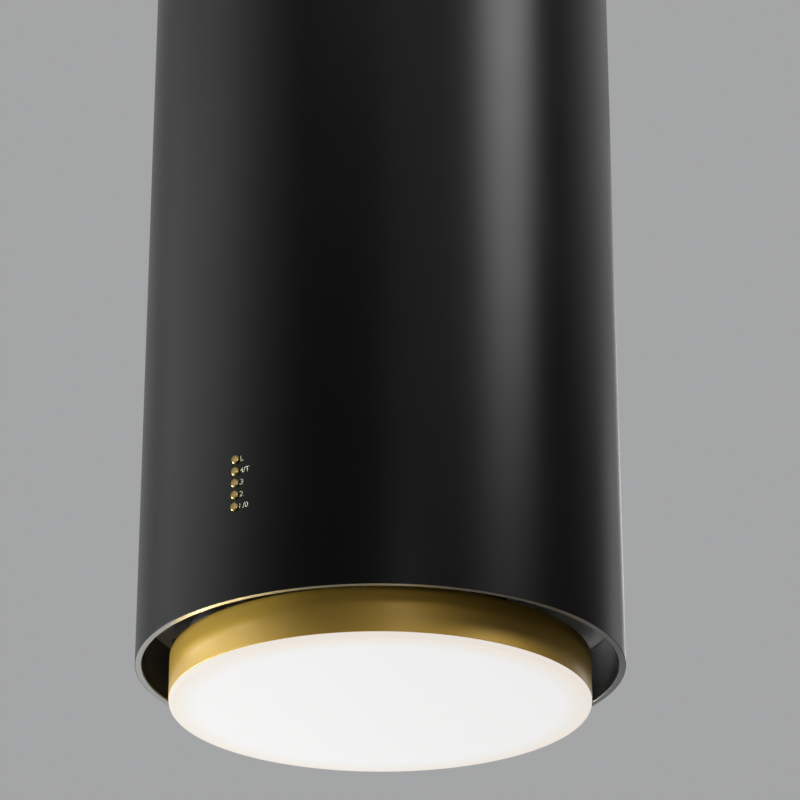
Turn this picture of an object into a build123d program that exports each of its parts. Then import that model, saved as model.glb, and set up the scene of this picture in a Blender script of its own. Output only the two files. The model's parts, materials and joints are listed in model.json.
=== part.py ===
from build123d import *
import os
from math import atan2, ceil, cos, degrees, radians, sin, sqrt

# Island range hood: a round casing hung from the ceiling, with a round lamp in its mouth.
# Millimetres. The origin is the centre of the ceiling plate's top face, +Z is up, the front is -Y.

# Casing and ceiling plate
casing_drop = 850.0         # ceiling to the rim of the mouth
casing_r = 200.0
casing_wall = 1.5
casing_top_gap = 0.5        # under the ceiling plate
rim_width = 5.4
rim_edge_r = 0.7
hem_height = 47.6           # rim to the underside of the deck
ceiling_wall = 2.5
ceiling_opening_r = 115.0
ceiling_bolt_pcd = 300.0
ceiling_bolt_hole_r = 4.5
tab_width = 30.0
tab_drop = 28.0
tab_wall = 1.8
tab_clearance = 0.2
casing_screw_drop = 16.0
quarter_count = 4           # uprights, casing tabs and ceiling bolts

# Frame uprights and deck
upright_setback = 20.5      # casing wall to the web's inner face
upright_width = 30.0
upright_depth = 15.0
upright_wall = 1.5
deck_wall = 1.5
deck_edge_clearance = 0.5

# Fasteners
screw_r = 2.0
small_screw_r = 1.5
screw_clearance = 0.2
screw_end_gap = 0.1
head_ratio = 1.8            # head radius over shank radius
head_height_ratio = 1.1
seat_clearance = 0.1        # between pieces that are laid or pushed into a seat
past = 1.0                  # how far a cutting shape runs past the face that it cuts

# Blower
impeller_r = 76.0
blade_depth = 16.0
blade_wall = 1.2
blade_count = 36
blade_pitch_angle = 35.0
impeller_half = 65.0
impeller_disc_wall = 2.0
hub_r = 12.0
hub_half = 7.0
volute_gap = 16.0           # impeller to the volute's narrowest stretch
volute_step = 10.0          # how much the radius grows in each quarter turn
tongue_r = 6.0
outlet_depth = 97.0
outlet_rise = 125.0         # shaft to the outlet's top face
scroll_half = 72.0
scroll_wall = 2.0
split_flange = 10.0
split_flange_wall = 3.0
outlet_flange = 12.0
outlet_flange_wall = 3.0
inlet_r = 62.0
inlet_ring_width = 8.0
inlet_ring_wall = 3.0
inlet_lip = 4.0
inlet_edge_r = 2.4
under_blower = 48.9         # deck to the scroll's lower flange

# Motor
motor_r = 45.0
motor_wall = 2.0
motor_length = 60.0
end_wall = 3.0
shaft_r = 4.0
shaft_clearance = 0.05
bearing_r = 11.0
bearing_width = 7.0
bearing_boss_wall = 3.0
rotor_r = 28.0
rotor_length = 34.0
air_gap = 1.0
spider_arm_width = 9.0
spider_arms = 3
spider_hub_r = 30.0
shaft_nut_r = 7.0
shaft_nut_height = 6.0
nut_chamfer = 0.8

# Blower plate, outlet spigot and back-draught flaps
plate_r = 150.0
plate_wall = 2.0
ear_width = 24.0
ear_rise = 20.0
spigot_flange_wall = 3.0
spigot_taper = 57.0
spigot_r = 74.5
spigot_wall = 2.0
spigot_height = 55.0
spigot_corner_r = 8.0
seat_r = 66.0
flap_side_gap = 2.0
flap_wall = 1.2
flap_seat_gap = 0.2
flap_root = 4.2
pin_r = 2.0
pin_clearance = 0.05
pin_seat_depth = 1.2
knuckle_r = 3.4
knuckle_gap = 0.5
knuckle_span = 124.0
knuckle_count = 4

# Grease filter, held by a bayonet in the deck
filter_r = 120.5
filter_wall = 2.0
filter_height = 15.0
filter_flange = 7.5
filter_flange_wall = 2.0
filter_lip = 7.0
filter_play = 0.25
filter_clearance = 1.5
lug_reach = 8.5
lug_wall = 1.5
lug_count = 3
lug_angle = 20.0
notch_angle = 24.0
filter_twist = 28.0
mesh_wall = 1.0
mesh_hole_r = 5.0
mesh_pitch = 18.0
mesh_rim = 9.0
knob_r = 15.0
knob_height = 20.0
knob_grip_width = 9.0
knob_base_wall = 4.0

# Lamp
intake_gap = 22.6           # casing rim to the lamp ring
lamp_rise = 9.1             # rim to the lamp's top face
lamp_height = 37.6
lamp_wall = 2.5
lamp_flange = 24.0
lamp_flange_wall = 2.0
lamp_edge_r = 1.4
lamp_plate_wall = 1.5
lamp_fit = 0.3
lamp_screw_inset = 4.0
lamp_screw_count = 6
led_board_wall = 1.6
led_board_margin = 9.0
led_size = 3.5
led_wall = 0.8
led_ring_step = 45.0
led_rings = 3
leds_per_ring = 12
diffuser_drop = 4.2
diffuser_wall = 3.0
diffuser_edge_r = 2.8
diffuser_inset = 0.4
spigot_ring_rise = 10.0
spigot_ring_wall = 3.0

# Magnetic hangers of the lamp
hanger_count = 3
hanger_first_angle = 180.0
hanger_inset = 3.5
hanger_thick = 11.5
hanger_width = 36.0
hanger_drop = 25.6
hanger_screw_spacing = 22.0
hanger_screw_length = 12.0
magnet_thick = 7.0
magnet_width = 28.0
magnet_height = 6.0
magnet_gap = 0.1
post_overhang = 1.0
post_width = 34.0
post_edge_r = 0.6

# Push buttons
button_angle = -124.37
button_names = ("button_power", "button_speed_2", "button_speed_3", "button_speed_4", "button_light")
button_r = 3.6
button_proud = 1.8
button_edge_r = 1.1
button_pitch = 10.0
button_rise = 27.6          # deck to the lowest button
button_clearance = 0.15
button_travel = 1.2
button_flange_r = 4.6
button_flange_wall = 1.3
stem_r = 1.5
stem_clearance = 0.1
guide_gap = 0.8             # left under the flange when a button is down
guide_wall = 1.5
stem_length = 6.8
switch_size = 6.0
switch_height = 3.5
switch_gap = 0.2
switch_well = 1.4
board_wall = 1.6
carrier_width = 25.0
carrier_wall = 1.5
carrier_margin = 10.0

# Electrics on the deck
box_angle = 0.0
box_inner_r = 134.0
box_clearance = 6.5         # its outer corners to the casing
box_width = 110.0
box_height = 45.0
box_wall = 2.0
standoff_r = 3.0
standoff_height = 6.0
gland_r = 8.0
gland_bore_r = 3.6
gland_rise = 14.0
gland_thread_r = 6.0
gland_depth = 8.0
driver_angle = 90.0
driver_depth = 40.0
driver_width = 80.0
driver_height = 28.0
driver_ear = 8.0
driver_ear_wall = 3.0
driver_edge_r = 2.0

# Places worked out from the sizes above
rim_z = -casing_drop
casing_in = casing_r - casing_wall
rim_in = casing_r - rim_width
hem_out = rim_in + casing_wall
casing_top = -ceiling_wall - casing_top_gap
deck_bottom = rim_z + hem_height
deck_top = deck_bottom + deck_wall
deck_r = casing_in - deck_edge_clearance
ceiling_r = casing_in - tab_clearance
web_r = casing_in - upright_setback
upright_screw_r = web_r + upright_depth / 2 + upright_wall / 2
quarter_angles = [90.0 * i for i in range(quarter_count)]
upright_angles = [angle + 45 for angle in quarter_angles]

volute_r = impeller_r + volute_gap
volute_in = volute_step / 2
outlet_far = volute_in + volute_r + 2 * volute_step
outlet_near = outlet_far - outlet_depth
blower_y = -(outlet_near + outlet_far) / 2
blower_z = deck_top + under_blower + volute_in + volute_r + volute_step + split_flange
scroll_out = scroll_half + scroll_wall
plate_z = blower_z + outlet_rise
plate_top = plate_z + plate_wall
seat_z = plate_top + spigot_flange_wall + spigot_taper
flap_z = seat_z + flap_seat_gap + flap_wall / 2

lamp_r = rim_in - intake_gap
lamp_top = rim_z + lamp_rise
lamp_bottom = lamp_top - lamp_height
lamp_plate_z = lamp_top - lamp_flange_wall - lamp_plate_wall
hanger_angles = [hanger_first_angle + 360 / hanger_count * i for i in range(hanger_count)]
hanger_out = lamp_r - hanger_inset
hanger_in = hanger_out - hanger_thick
hanger_mid = (hanger_out + hanger_in) / 2
hanger_bottom = deck_bottom - hanger_drop

button_heights = [deck_top + button_rise + button_pitch * i for i in range(len(button_names))]
flange_face = sqrt(casing_in ** 2 - button_flange_r ** 2) - seat_clearance
flange_back = flange_face - button_flange_wall
guide_face = flange_back - button_travel - guide_gap
stem_end = flange_back - stem_length
switch_face = stem_end - switch_gap
board_face = switch_face - switch_height
board_back = board_face - board_wall
switch_z_low = button_heights[0] - carrier_margin
switch_z_high = button_heights[-1] + carrier_margin

STANDING = (Align.CENTER, Align.CENTER, Align.MIN)


def post(r, z0, z1):
    return Pos(0, 0, z0) * Cylinder(r, z1 - z0, align=STANDING)


def ring(r_out, r_in, z0, z1):
    return Pos(0, 0, z0) * extrude(Circle(r_out) - Circle(r_in), z1 - z0)


def slab(x0, x1, y0, y1, z0, z1):
    return Pos((x0 + x1) / 2, (y0 + y1) / 2, (z0 + z1) / 2) * Box(x1 - x0, y1 - y0, z1 - z0)


def bar(r, x0, x1, y=0.0, z=0.0):
    return Pos(x0, y, z) * Rot(0, 90, 0) * Cylinder(r, x1 - x0, align=STANDING)


def sector(r_out, r_in, z0, z1, width):
    profile = Plane.XZ * Pos((r_out + r_in) / 2, (z0 + z1) / 2) * Rectangle(r_out - r_in, z1 - z0)
    return Rot(0, 0, -width / 2) * revolve(profile, Axis.Z, width)


def turned(points):
    outline = Polyline(*[(r, 0, z) for r, z in points], close=True)
    return revolve(make_face(outline), Axis.Z)


def around(angle, shape):
    return Rot(0, 0, angle) * shape


def on_axle(x, shape):
    # Turns a shape that stands on +Z to lie along the blower's shaft, with its foot at x
    return Pos(x, blower_y, blower_z) * Rot(0, 90, 0) * shape


def circles(shape, r, z):
    found = shape.edges().filter_by(GeomType.CIRCLE)
    return [edge for edge in found if abs(edge.radius - r) < 0.01 and abs(edge.arc_center.Z - z) < 0.01]


def screw(r, length):
    # Hexagon-socket screw, head up, with the face under its head at z = 0
    head_r = r * head_ratio
    head_height = r * head_height_ratio
    socket = Pos(0, 0, head_height / 2) * extrude(RegularPolygon(r, 6), head_height)
    return post(r, -length, 0) + post(head_r, 0, head_height) - socket


def group(shapes):
    return Compound([solid for shape in shapes for solid in shape.solids()])


def save(name, shape):
    export_step(shape, f"parts/{name}.step")


def make_casing():
    tube = turned([
        (casing_r, rim_z), (casing_r, casing_top), (casing_in, casing_top), (casing_in, rim_z + casing_wall),
        (hem_out, rim_z + casing_wall), (hem_out, deck_bottom), (rim_in, deck_bottom), (rim_in, rim_z),
    ])
    tube = fillet(circles(tube, casing_r, rim_z) + circles(tube, rim_in, rim_z), rim_edge_r)
    for height in button_heights:
        hole = bar(button_r + button_clearance, casing_in - casing_wall, casing_r + casing_wall, 0, height)
        tube -= around(button_angle, hole)
    screws = []
    for angle in quarter_angles:
        hole_r = screw_r + screw_clearance
        hole = bar(hole_r, casing_in - casing_wall, casing_r + casing_wall, 0, -casing_screw_drop)
        tube -= around(angle, hole)
        length = casing_wall + tab_clearance + 2 * tab_wall
        fastener = Pos(casing_r, 0, -casing_screw_drop) * Rot(0, 90, 0) * screw(screw_r, length)
        screws.append(around(angle, fastener))
    save("outer_tube", tube)
    save("casing_screws", group(screws))


def make_ceiling_plate():
    plate = ring(ceiling_r, ceiling_opening_r, -ceiling_wall, 0)
    skirt = ring(ceiling_r, ceiling_r - tab_wall, -tab_drop, 0)
    for angle in quarter_angles:
        tab = skirt & slab(0, casing_r, -tab_width / 2, tab_width / 2, -tab_drop, 0)
        tab -= bar(screw_r + screw_clearance, ceiling_r - 2 * tab_wall, casing_r, 0, -casing_screw_drop)
        plate += around(angle, tab)
        bolt_hole = post(ceiling_bolt_hole_r, -2 * ceiling_wall, past)
        plate -= around(angle, Pos(ceiling_bolt_pcd / 2, 0, 0) * bolt_hole)
    for angle in upright_angles:
        screw_hole = post(screw_r + screw_clearance, -2 * ceiling_wall, past)
        plate -= around(angle, Pos(upright_screw_r, 0, 0) * screw_hole)
    save("ceiling_plate", plate)


def make_uprights():
    top = -ceiling_wall
    half = upright_width / 2
    far = web_r + upright_depth
    channel = slab(web_r, far, -half, half, deck_top, top)
    channel -= slab(web_r + upright_wall, far + past, upright_wall - half, half - upright_wall,
                    deck_top + upright_wall, top - upright_wall)
    channel -= Pos(upright_screw_r, 0, 0) * post(screw_r + screw_clearance, deck_top - past, top + past)
    ear_hole = bar(screw_r + screw_clearance, web_r - past, far, 0, plate_z + ear_rise / 2 + plate_wall / 2)
    channel -= ear_hole
    screws = []
    top_length = upright_wall + ceiling_wall - screw_end_gap
    foot_length = upright_wall + deck_wall - screw_end_gap
    for i, angle in enumerate(upright_angles):
        save(f"frame_upright_{i + 1}", around(angle, channel))
        top_screw = Pos(upright_screw_r, 0, top - upright_wall) * Rot(180, 0, 0) * screw(screw_r, top_length)
        foot_screw = Pos(upright_screw_r, 0, deck_top + upright_wall) * screw(screw_r, foot_length)
        screws += [around(angle, top_screw), around(angle, foot_screw)]
    save("upright_screws", group(screws))


def make_deck():
    opening_r = filter_r + filter_clearance
    deck = ring(deck_r, opening_r, deck_bottom, deck_top)
    notch_r = filter_r + lug_reach + filter_clearance
    for i in range(lug_count):
        notch = sector(notch_r, opening_r - past, deck_bottom - past, deck_top + past, notch_angle)
        deck -= around(360 / lug_count * i + filter_twist, notch)
    for angle in upright_angles:
        hole = post(screw_r + screw_clearance, deck_bottom - past, deck_top + past)
        deck -= around(angle, Pos(upright_screw_r, 0, 0) * hole)
    for angle in hanger_angles:
        for side in (-hanger_screw_spacing / 2, hanger_screw_spacing / 2):
            hole = post(small_screw_r + screw_clearance, deck_bottom - past, deck_top + past)
            deck -= around(angle, Pos(hanger_mid, side, 0) * hole)
    save("deck_plate", deck)


def volute(offset, top):
    # Outline of the scroll in the plane across the shaft, moved outwards by offset
    inner = volute_in
    radii = [volute_r + volute_step * i + offset for i in range(3)]
    centres = [(-inner, -inner), (inner, -inner), (inner, inner)]
    start = (-inner, radii[0] - inner)
    left = (-inner - radii[0], -inner)
    low = (inner, -inner - radii[1])
    right = (inner + radii[2], inner)
    edges = []
    for i, (begin, end) in enumerate([(start, left), (left, low), (low, right)]):
        middle = radians(135 + 90 * i)
        through = (centres[i][0] + radii[i] * cos(middle), centres[i][1] + radii[i] * sin(middle))
        edges.append(ThreePointArc(begin, through, end))
    near = outlet_near - offset
    tongue = tongue_r - offset
    tip_centre = (outlet_near - tongue_r, start[1] - offset + tongue_r)
    edges.append(Line(right, (right[0], top)))
    edges.append(Line((right[0], top), (near, top)))
    if tongue > blade_wall:
        tip = (tip_centre[0], start[1])
        through = (tip_centre[0] + tongue * cos(radians(-45)), tip_centre[1] + tongue * sin(radians(-45)))
        edges.append(Line((near, top), (near, tip_centre[1])))
        edges.append(ThreePointArc((near, tip_centre[1]), through, tip))
    else:
        tip = (near, start[1])
        edges.append(Line((near, top), tip))
    edges.append(Line(tip, start))
    return make_face(Wire(edges))


def across_shaft(x):
    return Plane(origin=(x, blower_y, blower_z), x_dir=(0, 1, 0), z_dir=(1, 0, 0))


def split_screw_places():
    # On the middle of the split flange, three round the volute and one on each side of the outlet
    offset = (scroll_wall + split_flange) / 2
    inner = volute_in
    places = []
    for i, centre in enumerate([(-inner, -inner), (inner, -inner), (inner, inner)]):
        reach = volute_r + volute_step * i + offset
        angle = radians(135 + 90 * i)
        places.append((centre[0] + reach * cos(angle), centre[1] + reach * sin(angle)))
    height = outlet_rise - outlet_flange_wall - 2 * split_flange
    places.append((outlet_far + offset, height))
    places.append((outlet_near - offset, height + split_flange))
    return places


def make_scroll():
    half = extrude(across_shaft(0) * volute(scroll_wall, outlet_rise), scroll_out)
    half += extrude(across_shaft(0) * volute(split_flange, outlet_rise), split_flange_wall)
    half += slab(0, scroll_half + outlet_flange, blower_y + outlet_near - outlet_flange,
                 blower_y + outlet_far + outlet_flange, plate_z - outlet_flange_wall, plate_z)
    half -= extrude(across_shaft(-past) * volute(0, outlet_rise + past), scroll_half + past)
    half -= on_axle(scroll_half - past, post(inlet_r, 0, scroll_wall + 2 * past))
    screws = []
    for u, v in split_screw_places():
        y = blower_y + u
        z = blower_z + v
        half -= bar(small_screw_r + screw_clearance, -past, split_flange_wall + past, y, z)
        fastener = Rot(0, 90, 0) * screw(small_screw_r, 2 * split_flange_wall)
        screws.append(Pos(split_flange_wall, y, z) * fastener)
    for hole in outlet_screw_places():
        half -= Pos(*hole) * post(screw_r + screw_clearance, -2 * outlet_flange_wall, past)
    save("scroll_right", half)
    save("scroll_left", mirror(half, Plane.YZ))
    save("scroll_screws", group(screws))


def outlet_screw_places():
    x = scroll_half + (scroll_wall + outlet_flange) / 2
    y = outlet_depth / 2 + (scroll_wall + outlet_flange) / 2
    return [(side_x * x, side_y * y, plate_z) for side_x in (-1, 1) for side_y in (-1, 1)]


def make_inlets():
    ring_r = inlet_r + inlet_ring_width
    lip_r = inlet_r - seat_clearance
    bell = turned([
        (lip_r - inlet_lip, -inlet_lip), (lip_r, -inlet_lip), (lip_r, 0),
        (ring_r, 0), (ring_r, inlet_ring_wall), (lip_r - inlet_lip, inlet_ring_wall),
    ])
    bell = fillet(circles(bell, lip_r - inlet_lip, inlet_ring_wall), inlet_edge_r)
    save("inlet_ring_right", on_axle(scroll_out, bell))
    spider = ring(ring_r, inlet_r, 0, inlet_ring_wall) + ring(motor_r, spider_hub_r, 0, inlet_ring_wall)
    half = spider_arm_width / 2
    for i in range(spider_arms):
        arm = slab(motor_r - motor_wall, inlet_r + past, -half, half, 0, inlet_ring_wall)
        spider += around(360 / spider_arms * i, arm)
    save("motor_spider", on_axle(-scroll_out - inlet_ring_wall, spider))


def make_motor():
    foot = -scroll_out
    inner_r = motor_r - motor_wall
    boss_r = bearing_r + bearing_boss_wall
    can = ring(motor_r, inner_r, 0, motor_length)
    can += post(inner_r + motor_wall / 2, motor_length - end_wall, motor_length)
    can += post(boss_r, motor_length - bearing_width, motor_length)
    can -= post(bearing_r, motor_length - bearing_width - past, motor_length + past)
    save("motor_can", on_axle(foot, can))
    cap = post(inner_r - seat_clearance, 0, end_wall) + post(boss_r, 0, end_wall + bearing_width)
    cap -= post(bearing_r, end_wall, end_wall + bearing_width + past)
    save("motor_end_cap", on_axle(foot, cap))
    race = ring(bearing_r, shaft_r + shaft_clearance, 0, bearing_width)
    near_bearing = on_axle(foot + end_wall, race)
    far_bearing = on_axle(foot + motor_length - bearing_width, race)
    save("motor_bearings", group([near_bearing, far_bearing]))
    rotor_foot = foot + (end_wall + motor_length) / 2 - rotor_length / 2
    save("stator", on_axle(rotor_foot, ring(inner_r - seat_clearance, rotor_r + air_gap, 0, rotor_length)))
    save("rotor", on_axle(rotor_foot, ring(rotor_r, shaft_r, 0, rotor_length)))
    shaft_foot = foot + end_wall + screw_end_gap
    shaft_end = hub_half + shaft_nut_height + seat_clearance
    save("fan_shaft", on_axle(shaft_foot, post(shaft_r, 0, shaft_end - shaft_foot)))
    nut = extrude(RegularPolygon(shaft_nut_r, 6), shaft_nut_height)
    nut = chamfer(nut.edges().group_by(Axis.Z)[-1], nut_chamfer)
    nut -= post(shaft_r, -past, shaft_nut_height + past)
    save("shaft_nut", on_axle(hub_half, nut))


def make_impeller():
    # A hub disc, an end ring on each side and a row of flat blades from the disc to each ring
    blade_r = impeller_r - blade_depth / 2
    tip_r = impeller_r - blade_wall
    lean = radians(blade_pitch_angle)
    half_chord = sqrt(tip_r ** 2 - (blade_r * sin(lean)) ** 2) - blade_r * cos(lean)
    disc_face = impeller_disc_wall / 2
    ring_face = impeller_half - impeller_disc_wall
    outline = Rotation(0, 0, blade_pitch_angle) * Rectangle(2 * half_chord, blade_wall)
    blade = extrude(outline, ring_face - disc_face)
    blades = []
    for foot in (-ring_face, disc_face):
        for spot in PolarLocations(blade_r, blade_count):
            blades.append(on_axle(foot, spot * blade))
    save("impeller_blades", group(blades))
    disc = ring(impeller_r, shaft_r, -disc_face, disc_face)
    disc += ring(hub_r, shaft_r, -hub_half, hub_half)
    save("impeller_disc", on_axle(0, disc))
    end_ring = ring(impeller_r, impeller_r - blade_depth, 0, impeller_disc_wall)
    save("impeller_rings", group([on_axle(foot, end_ring) for foot in (-impeller_half, ring_face)]))


def make_blower_plate():
    half = ear_width / 2
    plate = post(plate_r, plate_z, plate_top)
    screws = []
    hole_z = plate_z + ear_rise / 2 + plate_wall / 2
    for angle in upright_angles:
        ear = slab(plate_r - ear_width, web_r, -half, half, plate_z, plate_top)
        ear += slab(web_r - plate_wall, web_r, -half, half, plate_z, plate_z + ear_rise)
        ear -= bar(screw_r + screw_clearance, web_r - 2 * plate_wall, web_r + past, 0, hole_z)
        plate += around(angle, ear)
        length = plate_wall + 2 * upright_wall
        fastener = Pos(web_r - plate_wall, 0, hole_z) * Rot(0, -90, 0) * screw(screw_r, length)
        screws.append(around(angle, fastener))
    plate -= slab(-scroll_half, scroll_half, -outlet_depth / 2, outlet_depth / 2,
                  plate_z - past, plate_top + past)
    for place in outlet_screw_places():
        plate -= Pos(*place) * post(screw_r + screw_clearance, -past, plate_wall + past)
    save("blower_plate", plate)
    save("blower_plate_screws", group(screws))


def oblong_section(half_x, half_y, corner, z):
    # Rounded rectangle of four sides and four corner arcs, from the lower end of its +X side
    edges = []
    for i in range(4):
        a, b = (half_x, half_y) if i % 2 == 0 else (half_y, half_x)
        turn = Rot(0, 0, 90 * i)
        bend = corner * (1 - cos(radians(45)))
        edges.append(turn * Line((a, corner - b), (a, b - corner)))
        edges.append(turn * ThreePointArc((a, b - corner), (a - bend, b - bend), (a - corner, b)))
    return Pos(0, 0, z) * make_face(Wire(edges))


def round_section(r, half_x, half_y, corner, z):
    # Circle cut into the same eight edges as the oblong section
    edges = []
    for i in range(4):
        a, b = (half_x, half_y) if i % 2 == 0 else (half_y, half_x)
        first = degrees(atan2(b - corner, a))
        second = degrees(atan2(b, a - corner))
        turn = Rot(0, 0, 90 * i)
        stops = [-first, first, second]
        for begin, end in zip(stops, stops[1:]):
            angles = [radians(begin), radians((begin + end) / 2), radians(end)]
            edges.append(turn * ThreePointArc(*[(r * cos(angle), r * sin(angle)) for angle in angles]))
    return Pos(0, 0, z) * make_face(Wire(edges))


def taper(extra, top_r, z0, z1):
    half_x = scroll_half + extra
    half_y = outlet_depth / 2 + extra
    corner = spigot_corner_r + extra
    sections = [oblong_section(half_x, half_y, corner, z0), round_section(top_r, half_x, half_y, corner, z1)]
    return loft(sections, ruled=True)


def make_spigot():
    half_x = scroll_half + outlet_flange
    half_y = outlet_depth / 2 + outlet_flange
    flange_top = plate_top + spigot_flange_wall
    spigot = slab(-half_x, half_x, -half_y, half_y, plate_top, flange_top)
    spigot += taper(spigot_wall, spigot_r, flange_top, seat_z)
    spigot -= taper(0, seat_r, flange_top, seat_z)
    mouth = oblong_section(scroll_half, outlet_depth / 2, spigot_corner_r, plate_top - past)
    spigot -= extrude(mouth, spigot_flange_wall + past)
    bore_r = spigot_r - spigot_wall
    spigot += ring(spigot_r, bore_r, seat_z, seat_z + spigot_height)
    pin_reach = bore_r + pin_seat_depth
    spigot -= bar(pin_r + pin_clearance, -pin_reach, pin_reach, 0, flap_z)
    screws = []
    for x, y, _ in outlet_screw_places():
        spigot -= Pos(x, y, 0) * post(screw_r + screw_clearance, plate_top - past, flange_top + past)
        length = spigot_flange_wall + plate_wall + 2 * outlet_flange_wall
        screws.append(Pos(x, y, flange_top) * screw(screw_r, length))
    save("outlet_spigot", spigot)
    save("spigot_screws", group(screws))
    save("flap_pin", bar(pin_r, -pin_reach + seat_clearance, pin_reach - seat_clearance, 0, flap_z))


def make_flaps():
    flap_r = spigot_r - spigot_wall - flap_side_gap
    pitch = knuckle_span / knuckle_count
    for side, name in enumerate(("flap_front", "flap_rear")):
        half_disc = post(flap_r, -flap_wall / 2, flap_wall / 2)
        flap = half_disc & slab(-flap_r, flap_r, flap_root, flap_r, -flap_wall, flap_wall)
        for i in range(side, knuckle_count, 2):
            x0 = -knuckle_span / 2 + pitch * i + knuckle_gap / 2
            x1 = x0 + pitch - knuckle_gap
            flap += bar(knuckle_r, x0, x1)
            flap += slab(x0, x1, 0, flap_root + flap_wall, -flap_wall / 2, flap_wall / 2)
        flap -= bar(pin_r + pin_clearance, -flap_r, flap_r)
        if side == 0:
            flap = mirror(flap, Plane.XZ)
        save(name, Pos(0, 0, flap_z) * flap)


def mesh_disc(r, wall):
    across = 2 * ceil(r / mesh_pitch) + 3
    holes = HexLocations(mesh_pitch / 2, across, across)
    reach = r - mesh_rim - mesh_hole_r
    places = [place for place in holes if knob_r + mesh_hole_r < place.position.length < reach]
    net = Circle(r) - [place * Circle(mesh_hole_r) for place in places]
    return extrude(net, wall)


def make_filter():
    flange_z = deck_bottom - filter_play - filter_flange_wall
    lug_z = deck_top + filter_play
    inner_r = filter_r - filter_wall
    frame = ring(filter_r, inner_r, flange_z, flange_z + filter_height)
    frame += ring(filter_r + filter_flange, inner_r - filter_lip, flange_z, flange_z + filter_flange_wall)
    for i in range(lug_count):
        lug = sector(filter_r + lug_reach, filter_r - filter_wall / 2, lug_z, lug_z + lug_wall, lug_angle)
        frame += around(360 / lug_count * i, lug)
    save("filter_frame", frame)
    mesh_z = flange_z + filter_flange_wall
    mesh_r = inner_r - seat_clearance
    save("filter_mesh_lower", Pos(0, 0, mesh_z) * mesh_disc(mesh_r, mesh_wall))
    skirt_z = mesh_z + mesh_wall
    upper_z = flange_z + filter_height - mesh_wall
    upper = Pos(0, 0, upper_z) * mesh_disc(mesh_r, mesh_wall)
    upper += ring(mesh_r, mesh_r - mesh_wall, skirt_z, upper_z)
    save("filter_mesh_upper", upper)
    knob = post(knob_r, mesh_z - knob_base_wall, mesh_z)
    half = knob_grip_width / 2
    grip = slab(-knob_r, knob_r, -half, half, mesh_z - knob_height, mesh_z - knob_base_wall)
    knob += grip & post(knob_r, mesh_z - knob_height, mesh_z)
    save("filter_knob", knob)


def make_lamp():
    inner_r = lamp_r - lamp_wall
    flange_z = lamp_top - lamp_flange_wall
    shell = turned([
        (lamp_r, lamp_bottom), (lamp_r, lamp_top), (lamp_r - lamp_flange, lamp_top),
        (lamp_r - lamp_flange, flange_z), (inner_r, flange_z), (inner_r, lamp_bottom),
    ])
    shell = fillet(circles(shell, lamp_r, lamp_top), lamp_edge_r)
    plate = post(inner_r - lamp_fit, lamp_plate_z, flange_z)
    screw_circle = lamp_r - lamp_flange + lamp_screw_inset
    screws = []
    for i in range(lamp_screw_count):
        angle = hanger_first_angle + 360 / lamp_screw_count * (i + 0.5)
        hole = post(small_screw_r + screw_clearance, lamp_plate_z - past, lamp_top + past)
        hole = Pos(screw_circle, 0, 0) * hole
        shell -= around(angle, hole)
        plate -= around(angle, hole)
        length = lamp_flange_wall + lamp_plate_wall - screw_end_gap
        screws.append(around(angle, Pos(screw_circle, 0, lamp_top) * screw(small_screw_r, length)))
    save("lamp_ring", shell)
    save("lamp_top_plate", plate)
    save("lamp_plate_screws", group(screws))
    board_z = lamp_plate_z - led_board_wall
    save("led_board", post(inner_r - led_board_margin, board_z, lamp_plate_z))
    leds = []
    for i in range(led_rings):
        count = leds_per_ring * (i + 1)
        for place in PolarLocations(led_ring_step * (i + 1), count):
            half = led_size / 2
            leds.append(place * slab(-half, half, -half, half, board_z - led_wall, board_z))
    save("leds", group(leds))
    rim_r = lamp_r - diffuser_inset
    bottom = lamp_bottom - diffuser_drop
    collar_r = inner_r - lamp_fit
    collar_in = collar_r - spigot_ring_wall
    collar_top = lamp_bottom + spigot_ring_rise
    panel = turned([
        (0, bottom), (rim_r, bottom), (rim_r, lamp_bottom), (collar_r, lamp_bottom), (collar_r, collar_top),
        (collar_in, collar_top), (collar_in, bottom + diffuser_wall), (0, bottom + diffuser_wall),
    ])
    save("diffuser", fillet(circles(panel, rim_r, bottom), diffuser_edge_r))


def make_hangers():
    half = hanger_width / 2
    magnet_half = magnet_width / 2
    magnet_in = hanger_mid - magnet_thick / 2
    magnet_out = hanger_mid + magnet_thick / 2
    block = slab(hanger_in, hanger_out, -half, half, hanger_bottom, deck_bottom)
    block -= slab(magnet_in - seat_clearance, magnet_out + seat_clearance, -magnet_half - seat_clearance,
                  magnet_half + seat_clearance, hanger_bottom - past, hanger_bottom + magnet_height)
    magnet_top = hanger_bottom + magnet_height
    magnet = slab(magnet_in, magnet_out, -magnet_half, magnet_half, hanger_bottom, magnet_top)
    pole = slab(hanger_in - post_overhang, hanger_out + post_overhang, -post_width / 2, post_width / 2,
                lamp_top, hanger_bottom - magnet_gap)
    pole = fillet(pole.edges().filter_by(Axis.Z) + pole.edges().group_by(Axis.Z)[-1], post_edge_r)
    screws = []
    length = deck_wall + hanger_screw_length
    fasteners = []
    for side in (-hanger_screw_spacing / 2, hanger_screw_spacing / 2):
        hole_foot = deck_bottom - hanger_screw_length - screw_clearance
        hole = post(small_screw_r + screw_clearance, hole_foot, deck_bottom + past)
        block -= Pos(hanger_mid, side, 0) * hole
        fasteners.append(Pos(hanger_mid, side, deck_top) * screw(small_screw_r, length))
    for i, angle in enumerate(hanger_angles):
        save(f"lamp_hanger_{i + 1}", around(angle, block))
        screws += [around(angle, fastener) for fastener in fasteners]
    save("hanger_magnets", group([around(angle, magnet) for angle in hanger_angles]))
    save("hanger_screws", group(screws))
    save("lamp_posts", group([around(angle, pole) for angle in hanger_angles]))


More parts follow.
